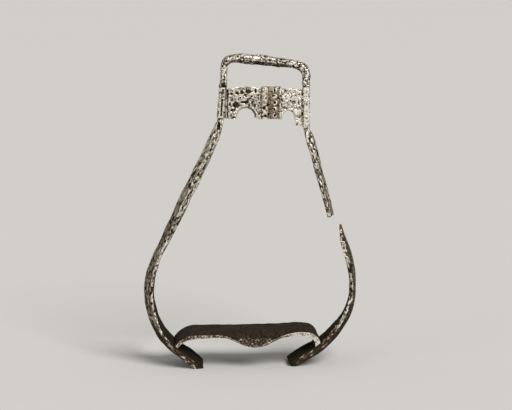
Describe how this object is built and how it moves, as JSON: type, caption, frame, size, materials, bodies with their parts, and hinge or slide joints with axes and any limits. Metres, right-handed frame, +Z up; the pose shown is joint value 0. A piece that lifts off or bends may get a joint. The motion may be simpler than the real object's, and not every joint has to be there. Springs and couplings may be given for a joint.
{
  "type": "stirrup",
  "caption": "Old forged-iron riding stirrup with a strap loop, a ribbed cover plate, splayed feet, a lobed tread and one arm broken through.",
  "frame": {"origin": "on the floor under the middle of the stirrup's box, where its two feet stand", "axes": "+Z up from the feet to the strap loop, +X across the stirrup towards its broken arm, -Y its front"},
  "size_m": [0.1184, 0.0272, 0.1734],
  "materials": {
    "forged_iron": "corroded and cleaned forged iron, deeply pitted, bright on its edges",
    "tread_iron": "smooth dark grey-green patina with a bright worn rim",
    "sheet_iron": "cleaned sheet iron, bright between dark corrosion pits",
    "band_iron": "moulded iron strip, bright ridges and olive-brown grooves"
  },
  "bodies": {
    "root": {"bow": "forged_iron", "right_arm_lower": "forged_iron", "tread_plate": "tread_iron", "front_cover_plate": "sheet_iron", "back_cover_plate": "sheet_iron", "centre_band": "band_iron"}
  },
  "joints": []
}
